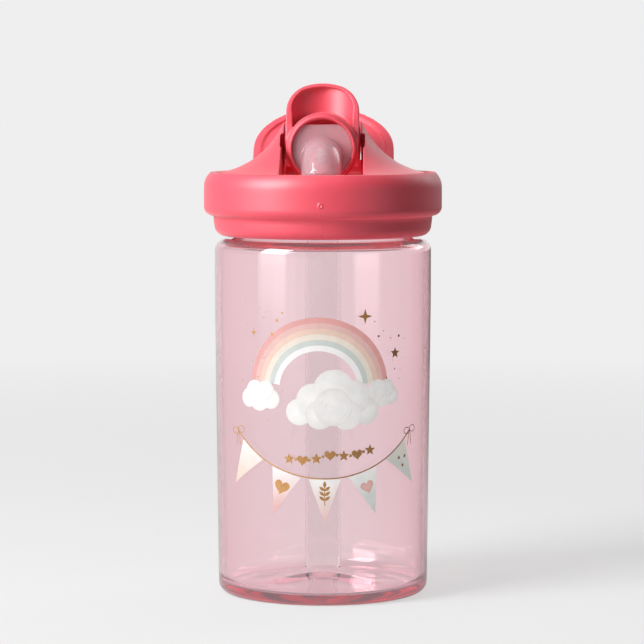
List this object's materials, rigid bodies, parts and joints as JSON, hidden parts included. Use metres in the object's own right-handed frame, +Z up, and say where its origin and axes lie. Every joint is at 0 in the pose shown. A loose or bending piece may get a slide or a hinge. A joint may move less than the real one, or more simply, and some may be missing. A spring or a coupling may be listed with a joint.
{
  "type": "drinking bottle",
  "caption": "Child's clear drinking bottle with a screw lid, a flip-up spout with a soft bite valve, a straw and a carry loop.",
  "frame": {"origin": "middle of the foot, on the surface the bottle stands on", "axes": "+Z up along the bottle's axis, -Y towards the front, where the spout points, +X to the right seen from the front"},
  "size_m": [0.0814, 0.0814, 0.1743],
  "materials": {
    "clear_body": "clear tinted copolyester, polished",
    "lid_shell": "satin moulded polypropylene, coral red",
    "soft_valve": "translucent silicone",
    "seal": "white silicone",
    "clear_tube": "clear moulded plastic"
  },
  "bodies": {
    "bottle": {"bottle_body": "clear_body"},
    "lid_seal": {"lid_gasket": "seal"},
    "lid": {"lid_cap": "lid_shell", "lid_ring": "lid_shell", "lid_cover": "lid_shell", "carry_loop": "lid_shell", "spout_seal": "seal", "straw": "clear_tube", "vent_valve": "seal"},
    "spout": {"spout_housing": "lid_shell", "valve_insert": "clear_tube", "bite_valve": "soft_valve"}
  },
  "joints": [
    {"name": "lid_lift", "type": "slide", "parent": "bottle", "child": "lid_seal", "axis": [0, 0, 1], "range_m": [0, 0.018]},
    {"name": "lid_turn", "type": "hinge", "parent": "lid_seal", "child": "lid", "pos_m": [0, 0, 0.1385], "axis": [0, 0, 1], "range_deg": [0, 540]},
    {"name": "spout_flip", "type": "hinge", "parent": "lid", "child": "spout", "pos_m": [0, 0, 0.155], "axis": [-1, 0, 0], "range_deg": [0, 90]}
  ],
  "couplings": [
    {"joint": "lid_lift", "follows": "lid_turn", "m_per_rad": 0.0019099}
  ]
}
